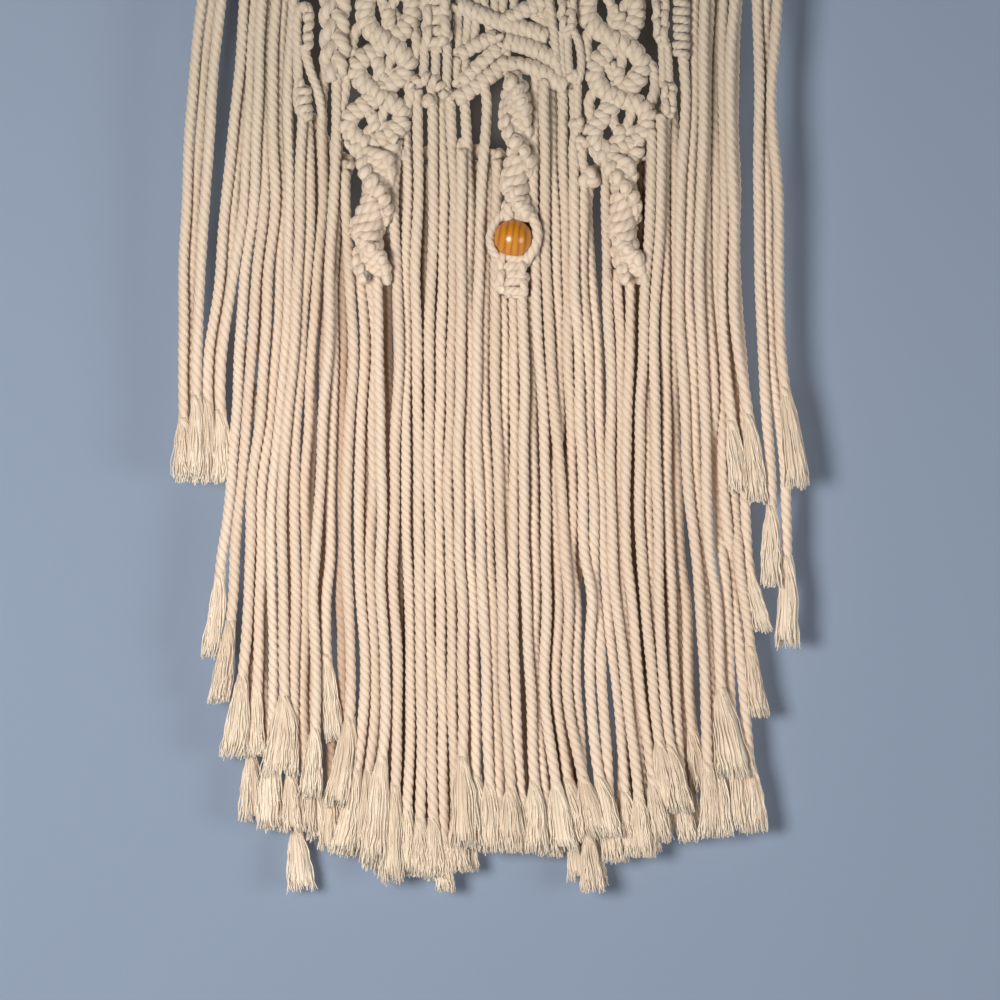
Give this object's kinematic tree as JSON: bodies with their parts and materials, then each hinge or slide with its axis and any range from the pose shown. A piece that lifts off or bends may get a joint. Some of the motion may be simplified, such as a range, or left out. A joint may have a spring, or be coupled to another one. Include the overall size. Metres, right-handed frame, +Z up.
{
  "type": "macrame wall hanging",
  "caption": "Wall hanging of knotted cotton cord: hitched top row, netted diamonds, a leaf of hitches, spiral sennits, a wooden bead and a long fringe with frayed ends.",
  "frame": {"origin": "middle of the top edge of the hitched top row, where the hanging is fastened up", "axes": "+Z up, the face of the hanging looks along -Y, +X to the right seen from the front"},
  "size_m": [0.314, 0.0276, 0.458],
  "materials": {
    "cotton": "matt twisted cotton cord in natural cream",
    "bead_wood": "glossy varnish"
  },
  "bodies": {
    "root": {"back_fringe": "cotton", "back_row": "cotton", "bead": "bead_wood", "centre_chevron": "cotton", "centre_fringe": "cotton", "centre_left_fringe": "cotton", "centre_right_fringe": "cotton", "centre_spiral_sennit": "cotton", "coil_knot": "cotton", "hanging_loop": "cotton", "header_row": "cotton", "left_centre_fringe": "cotton", "left_fringe": "cotton", "left_net": "cotton", "left_outer_cords": "cotton", "left_spiral_fringe": "cotton", "left_spiral_sennit": "cotton", "left_top_sennit": "cotton", "mid_left_knots": "cotton", "mid_right_knots": "cotton", "mid_right_sennit_and_cords": "cotton", "right_fringe": "cotton", "right_net": "cotton", "right_outer_cords": "cotton", "right_spiral_fringe": "cotton", "right_spiral_sennit": "cotton", "right_top_sennit": "cotton", "square_knots_and_bead_cords": "cotton", "wrapped_column": "cotton"}
  },
  "joints": []
}
